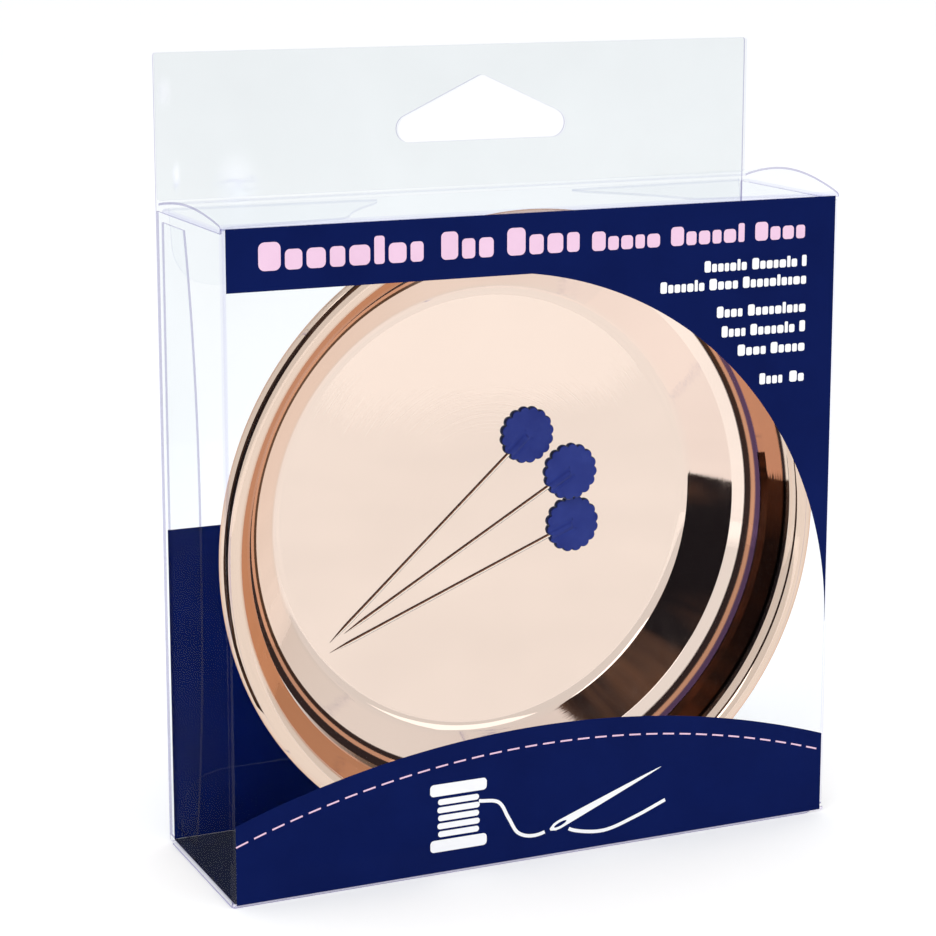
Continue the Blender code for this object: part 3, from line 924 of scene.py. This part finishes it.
def bowl():
    """The pressed bowl with its rolled rim, as (radius, y): front face, then hidden face."""
    corners = [(0.0, DISH_FLOOR_Y), (35.6, DISH_FLOOR_Y), (41.25, -0.1), (43.0, -1.35),
               (43.6, -4.9), (44.4, -6.1), (46.7, -9.2), (46.7, RIM_Y)]
    path = rounded(corners, [2.4, 0.35, 0.45, 0.5, 0.7, 0.5], steps=11)
    flat = [(r, DISH_FLOOR_Y) for r in (0.0, 4.0, 12.0, 20.0, 28.0)]
    path = flat + path[1:-1] + arc(DISH_R - RIM_ROLL, RIM_Y, RIM_ROLL, 180, 400, 40)
    hidden = []
    for i, point in enumerate(path):
        along = heading(path, i)
        hidden.append((point[0] - along.y * BOWL_STEEL, point[1] + along.x * BOWL_STEEL))
    hidden[0] = (0.0, DISH_FLOOR_Y + BOWL_STEEL)
    obj = turned("dish_rose_gold", path + hidden[::-1], ROSE, 288)
    piece(obj, "rose_gold_plate", "dish", "dish_bowl", mirrored=False)


def ring_section(inner, outer, near, far, ease):
    """A ring's section with eased corners."""
    points = []
    for cx, cy, start in ((outer - ease, near + ease, -90), (outer - ease, far - ease, 0),
                          (inner + ease, far - ease, 90), (inner + ease, near + ease, 180)):
        points += arc(cx, cy, ease, start, start + 90, 4)
    return points


def magnet_base():
    for node, mat, slot, inner, ease in (
            ("foam_ring", FOAM, "adhesive_foam", 12.0, 0.08),
            ("ring_magnet", FERRITE, "ferrite", 8.0, 0.3)):
        low, high = span(node)
        obj = turned(f"dish_{node}", ring_section(inner, high.x, low.y, high.y, ease), mat, 128)
        piece(obj, slot, "dish", node, mirrored=False)
    low, high = span("magnet_cup")
    outer, near, far = high.x, low.y, high.y
    wall, back = 1.0, 0.8
    cup = [(0.0, far - back), (outer - wall - 0.4, far - back)]
    cup += arc(outer - wall - 0.4, far - back - 0.4, 0.4, 90, 0, 4)
    cup += [(outer - wall, near), (outer, near)]
    cup += arc(outer - 0.7, far - 0.7, 0.7, 0, 90, 8) + [(0.0, far)]
    obj = turned("dish_magnet_cup", cup, STEEL, 128)
    piece(obj, "bright_steel", "dish", "magnet_cup", mirrored=False)
    rubber_boot()


def rubber_boot():
    """The moulded boot over the cup, its back face ringed with shallow grip grooves."""
    low, high = span("rubber_boot")
    outer, near, far = high.x, low.y, high.y
    wall, back = 1.6, 1.5
    inner = outer - wall
    boot = [(0.0, far - back), (inner - 0.5, far - back)]
    boot += arc(inner - 0.5, far - back - 0.5, 0.5, 90, 0, 5)
    boot += [(inner, near + 0.25), (inner + 0.8, near)]
    boot += arc(outer - 0.35, near + 0.35, 0.35, -90, 0, 5)
    boot += arc(outer - 1.0, far - 1.0, 1.0, 0, 90, 8)
    radius = outer - 3.0
    while radius > 6.0:
        boot += [(radius + 0.45, far), (radius + 0.3, far - 0.28), (radius - 0.3, far - 0.28),
                 (radius - 0.45, far)]
        radius -= 3.2
    boot.append((0.0, far))
    obj = turned("dish_rubber_boot", boot, RUBBER, 128)
    piece(obj, "black_rubber", "dish", "rubber_boot", mirrored=False)


# ---- the pins ----

LOBES = 16
HEAD_R = 4.664
HEAD_HALF = 0.6
RIB_R = 0.82
WIRE_R = 0.33
SEAT = 0.1  # how far the heads settle towards the dish's floor
# how far each pictured head is from its CAD head, in mm
PICTURED = {"pin_1": Vector((0.45, SEAT, 1.35)), "pin_2": Vector((0.0, SEAT, 1.25)),
            "pin_3": Vector((0.45, SEAT, 1.30))}


def scallop(angle):
    """The head's radius in a direction: sixteen round lobes."""
    lobe = HEAD_R * math.sin(math.pi / LOBES) * 1.03
    centre = HEAD_R - lobe
    away = ((angle * LOBES / (2 * math.pi)) % 1.0 - 0.5) * 2 * math.pi / LOBES
    return centre * math.cos(away) + math.sqrt(
        max(lobe ** 2 - (centre * math.sin(away)) ** 2, 0.0))


def head_height(x, z):
    """Half the head's thickness there: flat, with a low rib over the shaft up to its middle and a
    groove beside the rib."""
    rib = 0.0
    if x < 0.6:
        run = RIB_R * (1.0 if x < -0.3 else max(0.0, 1.0 - (x + 0.3) / 0.9))
        rib = math.sqrt(max(run ** 2 - z ** 2, 0.0))
    lift = max(rib - HEAD_HALF, 0.0)
    groove = 0.11 * math.exp(-((abs(z) - RIB_R) / 0.17) ** 2) if x < 0.2 else 0.0
    return HEAD_HALF + lift - groove


def pin_head(name, frame_of):
    """A scalloped disc with rounded edges, as polar rings on its front and back."""
    around, ease = 16 * LOBES, 0.26
    fractions = [k / 22 * 0.93 for k in range(1, 23)]
    points, rings, faces = [], [], []

    def ring(radius_of, height_of):
        first = len(points)
        for i in range(around):
            angle = 2 * math.pi * i / around
            radius = radius_of(angle)
            x, z = radius * math.cos(angle), radius * math.sin(angle)
            points.append(frame_of(x, height_of(x, z), z))
        rings.append(list(range(first, first + around)))

    def face_rings(sign):
        for f in fractions if sign < 0 else fractions[::-1]:
            ring(lambda a, f=f: (scallop(a) - ease) * f / 0.93,
                 lambda x, z: sign * head_height(x, z))

    points.append(frame_of(0.0, -head_height(0.0, 0.0), 0.0))
    face_rings(-1)
    for k in range(1, 12):
        turn = math.pi * k / 12
        ring(lambda a, t=turn: scallop(a) - ease + ease * math.sin(t),
             lambda x, z, t=turn: -math.cos(t) * head_height(x, z))
    face_rings(1)
    last = len(points)
    points.append(frame_of(0.0, head_height(0.0, 0.0), 0.0))
    for one, two in zip(rings, rings[1:]):
        faces += between(one, two)
    for i in range(around):
        j = (i + 1) % around
        faces.append((0, rings[0][i], rings[0][j]))
        faces.append((last, rings[-1][j], rings[-1][i]))
    return mesh_object(name, points, faces, [0] * len(faces), [BLUE])


def pin_shaft(name, length, frame_of):
    """A drawn wire with a long ground point."""
    profile = [(-length, 0.0), (-length + 0.03, 0.035), (-length + 0.5, 0.085),
               (-length + 1.8, 0.2), (-length + 3.2, 0.295), (-length + 4.2, WIRE_R)]
    profile += [(-length + 4.2 + (length - 4.6) * k / 6, WIRE_R) for k in range(1, 7)]
    profile += [(-0.38, WIRE_R - 0.04), (-0.38, 0.0)]
    return spun(name, profile, frame_of, PIN_STEEL, 28, False)


def pins():
    for name in ("pin_1", "pin_2", "pin_3"):
        head = middle(f"{name}_head") + PICTURED[name]
        low = span(f"{name}_shaft")[0]
        tip = Vector((low.x, DISH_FLOOR_Y - WIRE_R - 0.02, low.z))
        axis = (head - tip).normalized()
        across = axis.cross(Vector((0, 1, 0))).normalized()
        out = across.cross(axis).normalized()
        length = (head - tip).length

        def frame_of(x, y, z, head=head, axis=axis, out=out, across=across):
            return head + axis * x + out * y + across * z

        piece(pin_head(f"{name}_flower_head", frame_of), "blue_head_plastic", name,
              f"{name}_head", mirrored=False)
        piece(pin_shaft(f"{name}_wire", length, frame_of), "bright_steel", name,
              f"{name}_shaft", mirrored=False)


# ---- the studio ----

FLOOR_GLOW = 0.15  # lifts the paper to the photo's white
CARD_GLOW = 1.22
CARD_SIZE = 0.60  # width, in metres
CARD_Z = 0.00003  # height above the floor, in metres
FLAG_R = 120.0
# the flag's rows, as flag() takes them. The lowest are drawn in to stay above the floor.
FLAG_ROWS = [(-36.5, -92, -72, 83.4), (-29.4, -92, -69, 101.0), (-25.0, -91, -67.5, 117.0)] + [
    (*row, FLAG_R) for row in (
        (-24.3, -90, -66.5), (-21, -89, -61), (-14, -88, -57), (-4, -86, -54), (12, -83, -50),
        (28, -82, -44), (42, -78, -36), (55, -75, -22), (64, -70, -4), (72, -66, 25),
        (80, -60, 60))]
LAMP_TARGET = (0.0, 0.0, 0.05)
SKY_LIGHT = 0.90  # what the sky lights the part with
SKY_SEEN = 1.05  # and how bright the camera sees it
FOCAL_PX, IMAGE_PX, SENSOR_MM = 2579.0, 936, 36.0
SHIFT_PX = -90.0
CAMERA_AT = (-165.7, -356.8, 147.6)
CAMERA_YAW, CAMERA_PITCH = 0.421, -0.187


def floor():
    mesh = bpy.data.meshes.new("studio_floor")
    made = bmesh.new()
    bmesh.ops.create_circle(made, cap_ends=True, segments=96, radius=4.0)
    made.to_mesh(mesh)
    made.free()
    s = Surface("studio_paper")
    grain = s.noise(900.0, 3.0, 0.6)
    colour = s.ramp(grain, [(0.3, (0.96, 0.96, 0.96)), (0.7, (0.98, 0.98, 0.98))])
    mesh.materials.append(s.finish(s.principled(
        Base_Color=colour, Specular_IOR_Level=0.1, Roughness=s.spread(grain, 0.3, 0.7, 0.7, 0.8),
        Emission_Color=(1.0, 1.0, 1.0, 1.0), Emission_Strength=FLOOR_GLOW)))
    added("studio_floor", mesh)


def flag(name, rows, dark, light):
    """A curved dark card around the dish that only reflections see. rows are (elevation, first
    azimuth, last azimuth, radius), seen from the dish's middle, in degrees from the front to the
    right and in millimetres."""
    mesh = bpy.data.meshes.new(name)
    points, faces = [], []
    steps = 24
    for elevation, start, end, radius in rows:
        up = math.radians(elevation)
        for i in range(steps + 1):
            angle = math.radians(start + (end - start) * i / steps)
            points.append(Vector((radius * math.sin(angle) * math.cos(up),
                                  -radius * math.cos(angle) * math.cos(up),
                                  DISH_Z + radius * math.sin(up))) * MM)
    for k in range(len(rows) - 1):
        for i in range(steps):
            a = k * (steps + 1) + i
            faces.append((a, a + 1, a + steps + 2, a + steps + 1))
    mesh.from_pydata(points, [], faces)
    s = Surface(name)
    streak = s.noise(30.0, 5.0, 0.65, (1.0, 1.0, 0.3))
    colour = s.ramp(streak, [(0.42, dark), (0.68, light)])
    mesh.materials.append(s.finish(s.node("ShaderNodeEmission", Color=colour, Strength=1.0)))
    reflections_only(added(name, mesh))


def under_card():
    """A bright card on the floor under the box, for reflections only: the shadow there would grey
    the dish's upper wall."""
    mesh = bpy.data.meshes.new("studio_card_under")
    made = bmesh.new()
    bmesh.ops.create_grid(made, x_segments=4, y_segments=4, size=0.5)
    for vert in made.verts:
        vert.co = (vert.co.x * CARD_SIZE, vert.co.y * CARD_SIZE, CARD_Z)
    made.to_mesh(mesh)
    made.free()
    s = Surface("studio_card_white")
    colour = s.ramp(s.noise(20.0, 3.0, 0.5), [(0.3, (0.86, 0.87, 0.88)), (0.7, (0.92, 0.93, 0.94))])
    mesh.materials.append(s.finish(s.node("ShaderNodeEmission", Color=colour, Strength=CARD_GLOW)))
    reflections_only(added("studio_card_under", mesh))


def reflections_only(obj):
    obj.visible_camera = False
    obj.visible_diffuse = False
    obj.visible_shadow = False
    obj.visible_transmission = False


def lamp(name, place, size, watts):
    light = bpy.data.lights.new(name, "AREA")
    light.shape = "RECTANGLE"
    light.size = size[0]
    light.size_y = size[1]
    light.energy = watts
    obj = added(name, light)
    obj.location = place
    obj.rotation_mode = "QUATERNION"
    obj.rotation_quaternion = (Vector(place) - Vector(LAMP_TARGET)).to_track_quat("Z", "Y")


def world():
    made = bpy.data.worlds.new("studio")
    made.use_nodes = True
    tree = made.node_tree
    tree.nodes.clear()
    out = tree.nodes.new("ShaderNodeOutputWorld")
    path = tree.nodes.new("ShaderNodeLightPath")
    mix = tree.nodes.new("ShaderNodeMixShader")
    tree.links.new(path.outputs["Is Camera Ray"], mix.inputs[0])
    for socket, colour, strength in ((1, (0.97, 0.985, 1.0, 1.0), SKY_LIGHT),
                                     (2, (1.0, 1.0, 1.0, 1.0), SKY_SEEN)):
        sky = tree.nodes.new("ShaderNodeBackground")
        sky.inputs["Color"].default_value = colour
        sky.inputs["Strength"].default_value = strength
        tree.links.new(sky.outputs[0], mix.inputs[socket])
    tree.links.new(mix.outputs[0], out.inputs["Surface"])
    bpy.context.scene.world = made


def camera():
    data = bpy.data.cameras.new("camera")
    data.sensor_width = SENSOR_MM
    data.lens = FOCAL_PX / IMAGE_PX * SENSOR_MM
    data.shift_y = SHIFT_PX / IMAGE_PX
    data.clip_start = 0.01
    obj = added("camera", data)
    obj.location = Vector(CAMERA_AT) * MM
    obj.rotation_euler = (math.pi / 2 + CAMERA_PITCH, 0.0, -CAMERA_YAW)
    bpy.context.scene.camera = obj


wrap()
back_and_tab()
glue_seam()
closure("top", 1, "lid")
closure("bottom", -1, "bottom")
front_print()
bowl()
magnet_base()
pins()

floor()
flag("studio_flag_left", FLAG_ROWS, (0.013, 0.012, 0.015), (0.13, 0.075, 0.050))
under_card()
lamp("key_left", (-0.55, -0.45, 0.85), (0.7, 0.7), 2.4)
lamp("fill_right", (0.6, -0.7, 0.7), (0.8, 0.6), 1.0)
world()
camera()
scene = bpy.context.scene
scene.view_settings.view_transform = "Standard"
scene.view_settings.look = "None"
scene.cycles.transparent_max_bounces = 48
scene.cycles.max_bounces = 16
scene.cycles.glossy_bounces = 10
